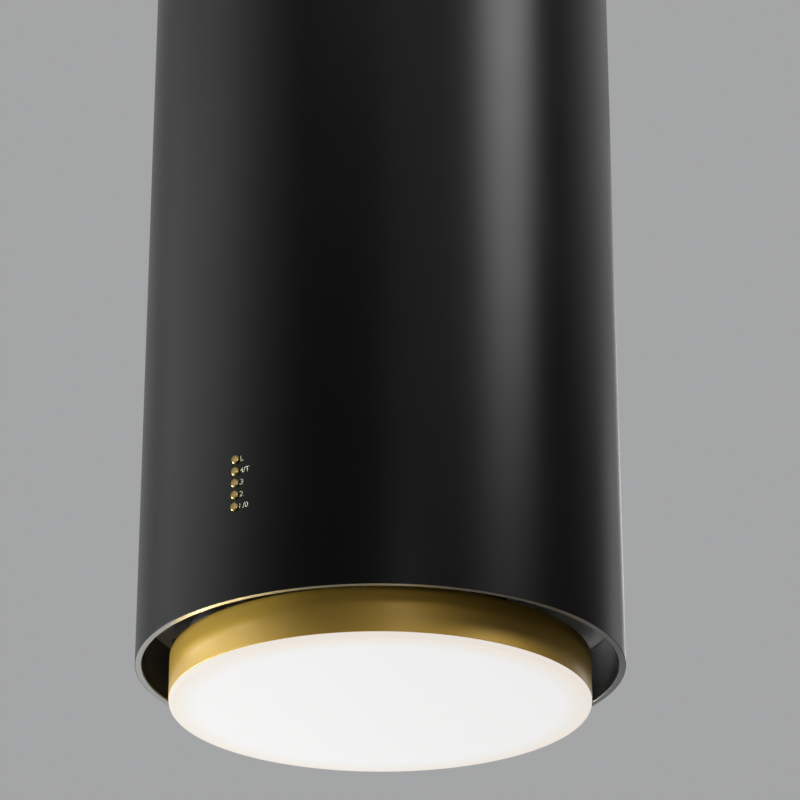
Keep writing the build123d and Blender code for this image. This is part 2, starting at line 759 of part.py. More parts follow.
def make_buttons():
    half = carrier_width / 2
    board_half = half - carrier_wall - seat_clearance
    carrier = slab(guide_face - guide_wall, guide_face, -half, half, switch_z_low, switch_z_high)
    for y in (-half, half - carrier_wall):
        carrier += slab(board_back, casing_r, y, y + carrier_wall, switch_z_low, switch_z_high)
    carrier &= post(casing_in, switch_z_low, switch_z_high)
    board = slab(board_back, board_face, -board_half, board_half, switch_z_low, switch_z_high)
    switches = []
    for name, z in zip(button_names, button_heights):
        cap_end = casing_r + button_proud
        cap = bar(button_r, flange_face, cap_end, 0, z)
        cap = fillet(cap.edges().filter_by(GeomType.CIRCLE).sort_by(Axis.X)[-1], button_edge_r)
        cap += bar(button_flange_r, flange_back, flange_face, 0, z)
        cap += bar(stem_r, stem_end, flange_back, 0, z)
        save(name, around(button_angle, cap))
        carrier -= bar(stem_r + stem_clearance, guide_face - guide_wall - past, guide_face + past, 0, z)
        side = switch_size / 2
        switch = slab(board_face, switch_face, -side, side, z - side, z + side)
        switch -= bar(stem_r + stem_clearance, switch_face - switch_well, switch_face + past, 0, z)
        switches.append(around(button_angle, switch))
    save("button_carrier", around(button_angle, carrier))
    save("button_board", around(button_angle, board))
    save("tact_switches", group(switches))


def make_electrics():
    half = box_width / 2
    outer_r = sqrt((casing_in - box_clearance) ** 2 - half ** 2)
    box_top = deck_top + box_height
    tray = slab(box_inner_r, outer_r, -half, half, deck_top, box_top)
    tray -= slab(box_inner_r + box_wall, outer_r - box_wall, box_wall - half, half - box_wall,
                 deck_top + box_wall, box_top + past)
    board_z = deck_top + box_wall + standoff_height
    margin = box_wall + standoff_r + seat_clearance
    for x in (box_inner_r + margin, outer_r - margin):
        for y in (margin - half, half - margin):
            tray += Pos(x, y, 0) * post(standoff_r, deck_top + box_wall / 2, board_z)
    save("control_box", around(box_angle, tray))
    gap = box_wall + seat_clearance
    board = slab(box_inner_r + gap, outer_r - gap, gap - half, half - gap, board_z, board_z + board_wall)
    save("control_board", around(box_angle, board))
    gland_x = (box_inner_r + outer_r) / 2
    lid_top = box_top + box_wall
    lid = slab(box_inner_r, outer_r, -half, half, box_top, lid_top)
    lid -= Pos(gland_x, 0, 0) * post(gland_thread_r + seat_clearance, box_top - past, lid_top + past)
    save("control_lid", around(box_angle, lid))
    gland = extrude(RegularPolygon(gland_r, 6), gland_rise / 2)
    gland += post(gland_r * cos(radians(30)), gland_rise / 2, gland_rise)
    gland += post(gland_thread_r, -gland_depth, 0)
    gland -= post(gland_bore_r, -gland_depth - past, gland_rise + past)
    save("cable_gland", around(box_angle, Pos(gland_x, 0, lid_top) * gland))
    driver_half = driver_width / 2
    driver_in = (box_inner_r + outer_r - driver_depth) / 2
    driver_out = driver_in + driver_depth
    driver = slab(driver_in, driver_out, -driver_half, driver_half, deck_top, deck_top + driver_height)
    driver = fillet(driver.edges().filter_by(Axis.Z) + driver.edges().group_by(Axis.Z)[-1], driver_edge_r)
    driver += slab(driver_in, driver_out, -driver_half - driver_ear, driver_half + driver_ear,
                   deck_top, deck_top + driver_ear_wall)
    save("led_driver", around(driver_angle, driver))


os.makedirs("parts", exist_ok=True)
make_casing()
make_ceiling_plate()
make_uprights()
make_deck()
make_scroll()
make_inlets()
make_motor()
make_impeller()
make_blower_plate()
make_spigot()
make_flaps()
make_filter()
make_lamp()
make_hangers()
make_buttons()
make_electrics()
print(f"casing {2 * casing_r:.0f} across, {casing_drop:.0f} below the ceiling, lamp {2 * lamp_r:.1f} across")
print(f"spigot top {seat_z + spigot_height:.2f}, seat {seat_z:.2f}, flap axis {flap_z:.3f}")
print(f"shaft at y {blower_y:.2f}, z {blower_z:.2f}, blower plate {plate_z:.2f}")
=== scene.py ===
import json
import math
import bmesh
import bpy
from mathutils import Matrix, Vector


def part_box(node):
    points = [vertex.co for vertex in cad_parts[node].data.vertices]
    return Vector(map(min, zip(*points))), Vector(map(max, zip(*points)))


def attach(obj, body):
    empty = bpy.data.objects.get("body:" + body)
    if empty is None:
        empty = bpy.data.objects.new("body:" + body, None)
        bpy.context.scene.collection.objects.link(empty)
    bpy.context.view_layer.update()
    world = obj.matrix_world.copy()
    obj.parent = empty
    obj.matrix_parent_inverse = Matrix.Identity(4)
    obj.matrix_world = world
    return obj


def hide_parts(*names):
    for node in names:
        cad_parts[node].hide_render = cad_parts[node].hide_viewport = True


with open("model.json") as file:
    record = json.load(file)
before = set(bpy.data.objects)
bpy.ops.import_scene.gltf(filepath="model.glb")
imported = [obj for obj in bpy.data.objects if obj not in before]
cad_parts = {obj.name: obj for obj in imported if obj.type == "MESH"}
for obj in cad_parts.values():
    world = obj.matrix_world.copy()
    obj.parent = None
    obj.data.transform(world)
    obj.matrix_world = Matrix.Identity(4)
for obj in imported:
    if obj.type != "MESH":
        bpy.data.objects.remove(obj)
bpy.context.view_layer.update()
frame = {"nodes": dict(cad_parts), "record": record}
nodes = frame["nodes"]
scene = bpy.context.scene
scene.view_settings.view_transform = "Standard"
print("frame loaded:", len(nodes), "nodes")

millimetre = 0.001

# places read from the frame
tubeLow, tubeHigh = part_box("outer_tube")
lampLow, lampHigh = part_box("lamp_ring")
panelLow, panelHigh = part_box("diffuser")
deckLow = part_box("deck_plate")[0]
rimZ = tubeLow.z
tubeRadius = tubeHigh.x
lampRadius = lampHigh.x

# camera, fitted to the photograph's rim and lamp
cameraView = {
    "lens": 146.01,
    "sensor": 36.0,
    "sideways": 15.934 * millimetre,
    "back": 2507.656 * millimetre,
    "belowRim": 876.910 * millimetre,
    "lookUp": 24.0387,
    "near": 0.05,
    "far": 200,
}


def makeCamera(view):
    lensData = bpy.data.cameras.new("photoCamera")
    lensData.lens = view["lens"]
    lensData.sensor_width = view["sensor"]
    lensData.clip_start = view["near"]
    lensData.clip_end = view["far"]
    camera = bpy.data.objects.new("photoCamera", lensData)
    camera.location = (view["sideways"], -view["back"], rimZ - view["belowRim"])
    camera.rotation_euler = (math.radians(90 + view["lookUp"]), 0, 0)
    scene.collection.objects.link(camera)
    scene.camera = camera


makeCamera(cameraView)
print("camera set")


# small helpers for finishes
def startFinish(name, colour, roughness, metallic=0.0):
    finish = bpy.data.materials.new(name)
    finish.use_nodes = True
    tree = finish.node_tree
    skin = tree.nodes["Principled BSDF"]
    skin.inputs["Base Color"].default_value = (*colour, 1)
    skin.inputs["Roughness"].default_value = roughness
    skin.inputs["Metallic"].default_value = metallic
    return finish, tree, skin


def surfacePoint(tree, stretch=(1, 1, 1)):
    place = tree.nodes.new("ShaderNodeTexCoord")
    turn = tree.nodes.new("ShaderNodeMapping")
    turn.inputs["Scale"].default_value = stretch
    tree.links.new(place.outputs["Object"], turn.inputs["Vector"])
    return turn.outputs["Vector"]


def grain(tree, point, scale, detail=2.0):
    cloud = tree.nodes.new("ShaderNodeTexNoise")
    cloud.inputs["Scale"].default_value = scale
    cloud.inputs["Detail"].default_value = detail
    tree.links.new(point, cloud.inputs["Vector"])
    return cloud.outputs["Fac"]


def spread(tree, value, low, high):
    span = tree.nodes.new("ShaderNodeMapRange")
    span.inputs["From Min"].default_value = 0.25
    span.inputs["From Max"].default_value = 0.75
    span.inputs["To Min"].default_value = low
    span.inputs["To Max"].default_value = high
    tree.links.new(value, span.inputs["Value"])
    return span.outputs["Result"]


def tint(tree, value, stops):
    ramp = tree.nodes.new("ShaderNodeValToRGB")
    band = ramp.color_ramp
    while len(band.elements) < len(stops):
        band.elements.new(0.5)
    for element, (place, colour) in zip(band.elements, stops):
        element.position = place
        element.color = (*colour, 1)
    tree.links.new(value, ramp.inputs["Fac"])
    return ramp.outputs["Color"]


def relief(tree, skin, height, strength, distance):
    bump = tree.nodes.new("ShaderNodeBump")
    bump.inputs["Strength"].default_value = strength
    bump.inputs["Distance"].default_value = distance
    tree.links.new(height, bump.inputs["Height"])
    tree.links.new(bump.outputs["Normal"], skin.inputs["Normal"])


def colourBy(tree, skin, value, stops):
    tree.links.new(tint(tree, value, stops), skin.inputs["Base Color"])


def roughenBy(tree, skin, value, limits):
    tree.links.new(spread(tree, value, *limits), skin.inputs["Roughness"])


def satinBlackPaint():
    look = {
        "colour": (0.003, 0.003, 0.0032), "deep": (0.0022, 0.0022, 0.0024), "light": (0.0034, 0.0034, 0.0037),
        "roughness": (0.27, 0.32), "gloss": 0.2, "patches": 9.0, "specks": 2600.0, "peel": 900.0,
    }
    finish, tree, skin = startFinish("satinBlackPaint", look["colour"], roughness=0.38)
    point = surfacePoint(tree)
    roughenBy(tree, skin, grain(tree, point, look["patches"], 4.0), look["roughness"])
    skin.inputs["Specular IOR Level"].default_value = look["gloss"]
    speck = grain(tree, point, look["specks"], 1.0)
    colourBy(tree, skin, speck, [(0.35, look["deep"]), (0.75, look["light"])])
    relief(tree, skin, grain(tree, point, look["peel"], 1.0), strength=0.05, distance=0.0002)
    return finish


def rimPolish():
    # the narrow rim, rubbed to a pale satin
    look = {"colour": (0.44, 0.437, 0.434), "roughness": (0.26, 0.32), "metal": 0.75, "patches": 18.0}
    finish, tree, skin = startFinish("rimPolish", look["colour"], roughness=0.23, metallic=look["metal"])
    roughenBy(tree, skin, grain(tree, surfacePoint(tree), look["patches"], 3.0), look["roughness"])
    return finish


def hemPaint():
    # the folded hem: smoother and a little greyer than the tube
    look = {"colour": (0.016, 0.016, 0.0164), "roughness": (0.18, 0.24), "gloss": 0.28, "patches": 18.0}
    finish, tree, skin = startFinish("hemPaint", look["colour"], roughness=0.2)
    skin.inputs["Specular IOR Level"].default_value = look["gloss"]
    roughenBy(tree, skin, grain(tree, surfacePoint(tree), look["patches"], 3.0), look["roughness"])
    return finish


def deckPaint():
    # a mid grey sheet, lighter than the tube
    look = {
        "light": (0.4, 0.39, 0.378), "deep": (0.37, 0.36, 0.348), "roughness": (0.24, 0.32),
        "specks": 60.0, "patches": 14.0,
    }
    finish, tree, skin = startFinish("deckPaint", look["light"], roughness=0.28)
    point = surfacePoint(tree)
    colourBy(tree, skin, grain(tree, point, look["specks"], 3.0), [(0.3, look["deep"]), (0.7, look["light"])])
    roughenBy(tree, skin, grain(tree, point, look["patches"], 3.0), look["roughness"])
    return finish


def satinGold():
    # metal under a thin satin lacquer
    look = {
        "light": (0.6, 0.378, 0.068), "deep": (0.58, 0.362, 0.062), "roughness": (0.5, 0.54),
        "lacquer": 1.0, "lacquerRoughness": 0.25, "brushing": (6, 6, 1400), "patches": 22.0,
    }
    finish, tree, skin = startFinish("satinGold", look["light"], roughness=0.3, metallic=1.0)
    skin.inputs["Coat Weight"].default_value = look["lacquer"]
    skin.inputs["Coat Roughness"].default_value = look["lacquerRoughness"]
    fine = grain(tree, surfacePoint(tree, look["brushing"]), 1.0, 2.0)
    broad = grain(tree, surfacePoint(tree), look["patches"], 3.0)
    colourBy(tree, skin, fine, [(0.3, look["deep"]), (0.7, look["light"])])
    roughenBy(tree, skin, broad, look["roughness"])
    relief(tree, skin, fine, strength=0.008, distance=0.0001)
    return finish


def shadedButtonGold():
    # the same metal in a darker copy, whose darker colour is painted shade on the button faces, with a
    # sharper gloss on the worn edges
    look = {
        "light": (0.31, 0.213, 0.048), "deep": (0.28, 0.19, 0.041), "roughness": (0.3, 0.36),
        "lacquer": 0.8, "lacquerRoughness": 0.12, "specks": 900.0, "patches": 300.0,
    }
    finish, tree, skin = startFinish("shadedButtonGold", look["light"], roughness=0.33, metallic=1.0)
    skin.inputs["Coat Weight"].default_value = look["lacquer"]
    skin.inputs["Coat Roughness"].default_value = look["lacquerRoughness"]
    point = surfacePoint(tree)
    colourBy(tree, skin, grain(tree, point, look["specks"], 2.0), [(0.3, look["deep"]), (0.7, look["light"])])
    roughenBy(tree, skin, grain(tree, point, look["patches"], 2.0), look["roughness"])
    return finish


def opalPanelGlow():
    # lit evenly from behind and warmer towards the rim; the brighter glow on the thin side is a painted
    # highlight, with a dark base there so that the lamps add little
    look = {
        "middle": (0.568, 0.562, 0.564), "edge": (0.553, 0.5, 0.448), "side": (0.77, 0.71, 0.65),
        "face": (0.35, 0.345, 0.34), "wall": (0.04, 0.039, 0.038), "strength": 1.05, "gloss": 0.12,
        "evenTo": 0.86, "edgeAt": 0.965, "sideAt": 0.992, "frosting": 1500.0,
    }
    finish, tree, skin = startFinish("opalPanelGlow", look["face"], roughness=0.7)
    skin.inputs["Specular IOR Level"].default_value = look["gloss"]
    flat = surfacePoint(tree, (1, 1, 0))
    length = tree.nodes.new("ShaderNodeVectorMath")
    length.operation = "LENGTH"
    tree.links.new(flat, length.inputs[0])
    share = tree.nodes.new("ShaderNodeMath")
    share.operation = "DIVIDE"
    share.inputs[1].default_value = panelHigh.x
    tree.links.new(length.outputs["Value"], share.inputs[0])
    # the side stop is a painted highlight: light catching the thin side, drawn as a stronger glow
    glow = tint(tree, share.outputs["Value"], [
        (0.0, look["middle"]), (look["evenTo"], look["middle"]),
        (look["edgeAt"], look["edge"]), (look["sideAt"], look["side"]),
    ])
    tree.links.new(glow, skin.inputs["Emission Color"])
    colourBy(tree, skin, share.outputs["Value"], [
        (0.0, look["face"]), (look["edgeAt"], look["face"]), (look["sideAt"], look["wall"]),
    ])
    skin.inputs["Emission Strength"].default_value = look["strength"]
    relief(tree, skin, grain(tree, surfacePoint(tree), look["frosting"], 1.0), strength=0.03, distance=0.0001)
    return finish


def galvanisedSheet():
    look = {
        "colour": (0.46, 0.47, 0.48), "deep": (0.36, 0.37, 0.385), "light": (0.55, 0.56, 0.575),
        "roughness": (0.34, 0.5), "spangles": 130.0,
    }
    finish, tree, skin = startFinish("galvanisedSheet", look["colour"], roughness=0.42, metallic=1.0)
    cells = tree.nodes.new("ShaderNodeTexVoronoi")
    cells.inputs["Scale"].default_value = look["spangles"]
    tree.links.new(surfacePoint(tree), cells.inputs["Vector"])
    grey = tree.nodes.new("ShaderNodeRGBToBW")
    tree.links.new(cells.outputs["Color"], grey.inputs["Color"])
    colourBy(tree, skin, grey.outputs["Val"], [(0.2, look["deep"]), (0.8, look["light"])])
    roughenBy(tree, skin, grey.outputs["Val"], look["roughness"])
    return finish


def platedMetal(name, look):
    # screws and small plated pieces, whose gloss wanders a little
    finish, tree, skin = startFinish(name, look["colour"], look["plain"], look["metal"])
    roughenBy(tree, skin, grain(tree, surfacePoint(tree), look["specks"], look["detail"]), look["roughness"])
    return finish


def speckledColour(name, look):
    finish, tree, skin = startFinish(name, look["colour"], look["roughness"])
    speck = grain(tree, surfacePoint(tree), look["specks"], 2.0)
    colourBy(tree, skin, speck, [(0.3, look["deep"]), (0.7, look["light"])])
    return finish


def mouldedPlastic(name, colour, roughness=0.5):
    look = {"lighten": 1.25, "clouds": 40.0, "texture": 1800.0}
    finish, tree, skin = startFinish(name, colour, roughness)
    point = surfacePoint(tree)
    light = [min(1.0, part * look["lighten"]) for part in colour]
    colourBy(tree, skin, grain(tree, point, look["clouds"], 3.0), [(0.3, colour), (0.8, light)])
    relief(tree, skin, grain(tree, point, look["texture"], 1.0), strength=0.15, distance=0.0002)
    return finish


def brushedMetal(name, colour, roughness, stretch):
    look = {"darken": 0.82, "smoother": 0.06, "rougher": 0.08}
    finish, tree, skin = startFinish(name, colour, roughness, metallic=1.0)
    lines = grain(tree, surfacePoint(tree, stretch), 1.0, 2.0)
    dark = [part * look["darken"] for part in colour]
    colourBy(tree, skin, lines, [(0.3, dark), (0.7, colour)])
    roughenBy(tree, skin, lines, (roughness - look["smoother"], roughness + look["rougher"]))
    relief(tree, skin, lines, strength=0.08, distance=0.0001)
    return finish


def enamelledCopper():
    look = {
        "colour": (0.45, 0.16, 0.06), "deep": (0.3, 0.09, 0.03), "light": (0.52, 0.2, 0.075), "turns": 260.0,
    }
    finish, tree, skin = startFinish("enamelledCopper", look["colour"], roughness=0.3, metallic=1.0)
    turns = tree.nodes.new("ShaderNodeTexWave")
    turns.inputs["Scale"].default_value = look["turns"]
    tree.links.new(surfacePoint(tree), turns.inputs["Vector"])
    colourBy(tree, skin, turns.outputs["Fac"], [(0.2, look["deep"]), (0.7, look["light"])])
    relief(tree, skin, turns.outputs["Fac"], strength=0.4, distance=0.0005)
    return finish


def solderMask():
    look = {
        "mask": (0.012, 0.09, 0.035), "paler": (0.014, 0.105, 0.04), "track": (0.03, 0.16, 0.07),
        "tracks": 180.0,
    }
    finish, tree, skin = startFinish("solderMask", look["mask"], roughness=0.25)
    tracks = tree.nodes.new("ShaderNodeTexBrick")
    tracks.inputs["Scale"].default_value = look["tracks"]
    for label, part in (("Color1", "mask"), ("Color2", "paler"), ("Mortar", "track")):
        tracks.inputs[label].default_value = (*look[part], 1)
    tree.links.new(surfacePoint(tree), tracks.inputs["Vector"])
    tree.links.new(tracks.outputs["Color"], skin.inputs["Base Color"])
    return finish


# small finishes that differ only in their values; plain is the roughness before it wanders
blackScrew = {
    "colour": (0.012, 0.012, 0.013), "plain": 0.35, "metal": 0.4, "specks": 700.0, "detail": 2.0,
    "roughness": (0.3, 0.45),
}
zincScrew = {
    "colour": (0.5, 0.5, 0.51), "plain": 0.3, "metal": 1.0, "specks": 700.0, "detail": 2.0,
    "roughness": (0.24, 0.4),
}
nickelPlate = {
    "colour": (0.72, 0.7, 0.66), "plain": 0.18, "metal": 1.0, "specks": 160.0, "detail": 3.0,
    "roughness": (0.14, 0.24),
}
ledPhosphor = {
    "colour": (0.9, 0.66, 0.12), "deep": (0.82, 0.55, 0.08), "light": (0.92, 0.72, 0.2),
    "roughness": 0.3, "specks": 500.0,
}
legendInk = {
    "colour": (0.78, 0.72, 0.52), "deep": (0.70, 0.64, 0.45), "light": (0.80, 0.75, 0.56),
    "roughness": 0.45, "specks": 900.0,
}

finishes = {
    "casing_black": satinBlackPaint(),
    "black_screw": platedMetal("blackScrew", blackScrew),
    "deck_black": deckPaint(),
    "galvanised_steel": galvanisedSheet(),
    "screw_steel": platedMetal("zincScrew", zincScrew),
    "scroll_plastic": mouldedPlastic("scrollPlastic", (0.02, 0.02, 0.021)),
    "impeller_plastic": mouldedPlastic("impellerPlastic", (0.045, 0.045, 0.047)),
    "motor_steel": brushedMetal("motorSteel", (0.42, 0.42, 0.43), 0.35, (900, 40, 40)),
    "winding_copper": enamelledCopper(),
    "filter_aluminium": brushedMetal("filterAluminium", (0.66, 0.67, 0.68), 0.36, (1200, 60, 60)),
    "knob_plastic": mouldedPlastic("knobPlastic", (0.012, 0.012, 0.012), 0.42),
    "satin_gold": satinGold(),
    "lamp_plate_aluminium": brushedMetal("lampPlateAluminium", (0.72, 0.72, 0.72), 0.4, (60, 1200, 60)),
    "led_yellow": speckledColour("ledPhosphor", ledPhosphor),
    "opal_diffuser": opalPanelGlow(),
    "nickel": platedMetal("nickelPlate", nickelPlate),
    "board_green": solderMask(),
    "driver_white": mouldedPlastic("driverWhite", (0.6, 0.6, 0.58), 0.45),
}
legendFinish = speckledColour("legendInk", legendInk)
rimFinish = rimPolish()
hemFinish = hemPaint()
shadedButtonFinish = shadedButtonGold()

for part in frame["record"]["subparts"]:
    cadPiece = nodes[part["node"]]
    cadPiece.data.materials.clear()
    cadPiece.data.materials.append(finishes[part["material_slot"]])
print("finishes given to every node")


# how finely the node trees work
treeDetail = {
    "sharpBend": 40,  # degrees, past which an edge stays sharp
    "weld": 0.005 * millimetre,
    "drillSides": 40,
}


# small helpers for node trees that make meshes
def startTree(name, inputs):
    tree = bpy.data.node_groups.new(name, "GeometryNodeTree")
    tree.interface.new_socket("Geometry", in_out="INPUT", socket_type="NodeSocketGeometry")
    for label, kind in inputs:
        tree.interface.new_socket(label, in_out="INPUT", socket_type="NodeSocket" + kind)
    tree.interface.new_socket("Geometry", in_out="OUTPUT", socket_type="NodeSocketGeometry")
    return tree, tree.nodes.new("NodeGroupInput").outputs


def addNode(tree, kind, **settings):
    node = tree.nodes.new(kind)
    for label, value in settings.items():
        setattr(node, label, value)
    return node


def sums(tree, operation, first, second=None):
    node = addNode(tree, "ShaderNodeMath", operation=operation)
    for socket, value in zip(node.inputs, (first, second)):
        if isinstance(value, (int, float)):
            socket.default_value = value
        elif value is not None:
            tree.links.new(value, socket)
    return node.outputs[0]


def endTree(tree, shape, material):
    realize = addNode(tree, "GeometryNodeRealizeInstances")
    dress = addNode(tree, "GeometryNodeSetMaterial")
    tree.links.new(shape, realize.inputs[0])
    tree.links.new(realize.outputs[0], dress.inputs["Geometry"])
    tree.links.new(material, dress.inputs["Material"])
    tree.links.new(dress.outputs[0], tree.nodes.new("NodeGroupOutput").inputs[0])
    return tree


def softEdges(tree, shape):
    # smooth faces, with strongly bent edges kept sharp
    smooth = addNode(tree, "GeometryNodeSetShadeSmooth", domain="FACE")
    crease = addNode(tree, "GeometryNodeSetShadeSmooth", domain="EDGE")
    crease.inputs["Shade Smooth"].default_value = False
    bend = addNode(tree, "GeometryNodeInputMeshEdgeAngle")
    tree.links.new(shape, smooth.inputs["Geometry"])
    tree.links.new(smooth.outputs[0], crease.inputs["Geometry"])
    sharp = sums(tree, "GREATER_THAN", bend.outputs[0], math.radians(treeDetail["sharpBend"]))
    tree.links.new(sharp, crease.inputs["Selection"])
    return crease.outputs[0]


def grow(name, seedMesh, tree, values):
    seed = bpy.data.objects.new(name + "Seed", seedMesh)
    scene.collection.objects.link(seed)
    growth = seed.modifiers.new("growth", "NODES")
    growth.node_group = tree
    for item in tree.interface.items_tree:
        if item.in_out == "INPUT" and item.name in values:
            growth[item.identifier] = values[item.name]
    state = seed.evaluated_get(bpy.context.evaluated_depsgraph_get())
    mesh = bpy.data.meshes.new_from_object(state)
    seed.modifiers.remove(growth)
    bpy.data.objects.remove(seed)
    mesh.name = name
    piece = bpy.data.objects.new(name, mesh)
    scene.collection.objects.link(piece)
    return piece


def turnedShape(tree, begin):
    # sweeps the seed's outline, drawn in radius and height, round the upright axis
    lay = addNode(tree, "GeometryNodeTransform")
    lay.inputs["Rotation"].default_value = (math.radians(90), 0, 0)
    shift = addNode(tree, "ShaderNodeCombineXYZ")
    outline = addNode(tree, "GeometryNodeMeshToCurve")
    rail = addNode(tree, "GeometryNodeCurvePrimitiveCircle")
    sweep = addNode(tree, "GeometryNodeCurveToMesh")
    close = addNode(tree, "GeometryNodeMergeByDistance")
    close.inputs["Distance"].default_value = treeDetail["weld"]
    tree.links.new(begin["Geometry"], lay.inputs["Geometry"])
    tree.links.new(sums(tree, "MULTIPLY", begin["Rail"], -1.0), shift.inputs["X"])
    tree.links.new(shift.outputs[0], lay.inputs["Translation"])
    tree.links.new(lay.outputs[0], outline.inputs["Mesh"])
    tree.links.new(begin["Segments"], rail.inputs["Resolution"])
    tree.links.new(begin["Rail"], rail.inputs["Radius"])
    tree.links.new(rail.outputs[0], sweep.inputs["Curve"])
    tree.links.new(outline.outputs[0], sweep.inputs["Profile Curve"])
    tree.links.new(sweep.outputs[0], close.inputs["Geometry"])
    # the outline runs so that the sweep comes out facing inwards
    flip = addNode(tree, "GeometryNodeFlipFaces")
    tree.links.new(close.outputs[0], flip.inputs[0])
    return flip.outputs[0]


def buildTurnedTree():
    tree, begin = startTree("turnedPiece", [("Segments", "Int"), ("Rail", "Float"), ("Finish", "Material")])
    return endTree(tree, softEdges(tree, turnedShape(tree, begin)), begin["Finish"])


def buildTubeTree():
    # the turned casing with a column of round holes cut through its wall
    tree, begin = startTree("tubeWithHoles", [
        ("Segments", "Int"), ("Rail", "Float"), ("Finish", "Material"),
        ("Holes", "Int"), ("Hole radius", "Float"), ("Hole depth", "Float"),
        ("First hole", "Vector"), ("Hole step", "Vector"), ("Hole turn", "Vector"),
    ])
    column = addNode(tree, "GeometryNodeMeshLine", mode="OFFSET")
    tree.links.new(begin["Holes"], column.inputs["Count"])
    tree.links.new(begin["First hole"], column.inputs["Start Location"])
    tree.links.new(begin["Hole step"], column.inputs["Offset"])
    drill = addNode(tree, "GeometryNodeMeshCylinder")
    drill.inputs["Vertices"].default_value = treeDetail["drillSides"]
    tree.links.new(begin["Hole radius"], drill.inputs["Radius"])
    tree.links.new(begin["Hole depth"], drill.inputs["Depth"])
    place = addNode(tree, "GeometryNodeInstanceOnPoints")
    tree.links.new(column.outputs[0], place.inputs["Points"])
    tree.links.new(drill.outputs[0], place.inputs["Instance"])
    tree.links.new(begin["Hole turn"], place.inputs["Rotation"])
    drills = addNode(tree, "GeometryNodeRealizeInstances")
    tree.links.new(place.outputs[0], drills.inputs[0])
    cut = addNode(tree, "GeometryNodeMeshBoolean", operation="DIFFERENCE", solver="EXACT")
    tree.links.new(turnedShape(tree, begin), cut.inputs["Mesh 1"])
    tree.links.new(drills.outputs[0], cut.inputs["Mesh 2"])
    return endTree(tree, softEdges(tree, cut.outputs["Mesh"]), begin["Finish"])


def buildScrewRingTree():
    # copies of a turned screw on a circle, each with a hexagon socket and its head outwards
    tree, begin = startTree("ringOfScrews", [
        ("Segments", "Int"), ("Rail", "Float"), ("Count", "Int"), ("Radius", "Float"), ("Height", "Float"),
        ("First angle", "Float"), ("Socket radius", "Float"), ("Socket depth", "Float"), ("Head", "Vector"),
        ("Finish", "Material"),
    ])
    socket = addNode(tree, "GeometryNodeMeshCylinder")
    socket.inputs["Vertices"].default_value = 6
    tree.links.new(begin["Socket radius"], socket.inputs["Radius"])
    tree.links.new(sums(tree, "MULTIPLY", begin["Socket depth"], 2.0), socket.inputs["Depth"])
    lift = addNode(tree, "GeometryNodeTransform")
    tree.links.new(socket.outputs["Mesh"], lift.inputs["Geometry"])
    tree.links.new(begin["Head"], lift.inputs["Translation"])
    cut = addNode(tree, "GeometryNodeMeshBoolean", operation="DIFFERENCE", solver="EXACT")
    tree.links.new(turnedShape(tree, begin), cut.inputs["Mesh 1"])
    tree.links.new(lift.outputs[0], cut.inputs["Mesh 2"])
    index = addNode(tree, "GeometryNodeInputIndex").outputs[0]
    step = sums(tree, "DIVIDE", 2 * math.pi, begin["Count"])
    angle = sums(tree, "ADD", sums(tree, "MULTIPLY", index, step), begin["First angle"])
    spot = addNode(tree, "ShaderNodeCombineXYZ")
    tree.links.new(sums(tree, "MULTIPLY", sums(tree, "COSINE", angle), begin["Radius"]), spot.inputs["X"])
    tree.links.new(sums(tree, "MULTIPLY", sums(tree, "SINE", angle), begin["Radius"]), spot.inputs["Y"])
    tree.links.new(begin["Height"], spot.inputs["Z"])
    points = addNode(tree, "GeometryNodePoints")
    tree.links.new(begin["Count"], points.inputs["Count"])
    tree.links.new(spot.outputs[0], points.inputs["Position"])
    turn = addNode(tree, "ShaderNodeCombineXYZ")
    turn.inputs["Y"].default_value = math.radians(90)
    tree.links.new(angle, turn.inputs["Z"])
    place = addNode(tree, "GeometryNodeInstanceOnPoints")
    tree.links.new(points.outputs[0], place.inputs["Points"])
    tree.links.new(softEdges(tree, cut.outputs["Mesh"]), place.inputs["Instance"])
    tree.links.new(turn.outputs[0], place.inputs["Rotation"])
    return endTree(tree, place.outputs[0], begin["Finish"])


turnedTree = buildTurnedTree()
tubeTree = buildTubeTree()
screwTree = buildScrewRingTree()


def roundedOutline(corners, steps=6):
    # corners are (radius, height, rounding)
    points = []
    for i, (across, up, rounding) in enumerate(corners):
        here = Vector((across, up))
        if rounding == 0:
            points.append(here)
            continue
        before = Vector(corners[i - 1][:2]) - here
        after = Vector(corners[(i + 1) % len(corners)][:2]) - here
        before.normalize()
        after.normalize()
        half = before.angle(after) / 2
        reach = rounding / math.tan(half)
        centre = here + (before + after).normalized() * rounding / math.sin(half)
        first = here + before * reach - centre
        last = here + after * reach - centre
        # a point just past each end of the arc keeps the straight stretches flat in the light
        hold = 0.12 * rounding
        points.append(here + before * (reach + hold))
        points += [centre + first.slerp(last, k / steps) * rounding for k in range(steps + 1)]
        points.append(here + after * (reach + hold))
    return points


def outlineMesh(name, points, closed=True):
    mesh = bpy.data.meshes.new(name)
    edges = [(i, i + 1) for i in range(len(points) - 1)]
    if closed:
        edges.append((len(points) - 1, 0))
    mesh.from_pydata([(point.x, 0, point.y) for point in points], edges, [])
    return mesh


def wear(piece, body, slotName, *cadNodes):
    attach(piece, body)
    if cadNodes:
        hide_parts(*cadNodes)


# casing: folded sheet tube with a flat rim and an inner hem
casing = {
    "wall": 1.5 * millimetre,
    "rimWidth": 5.4 * millimetre,
    "rimEdge": 0.5 * millimetre,
    "lip": 0.5 * millimetre,
    "lipRound": 0.8,  # share of the lip
    "hemJoint": 0.8 * millimetre,
    "topEdge": 0.4 * millimetre,
    "segments": 360,
    "holeGap": 0.15 * millimetre,
    "drillWalls": 4,  # length of the drill, in walls
    "outerSlack": 0.02 * millimetre,
}

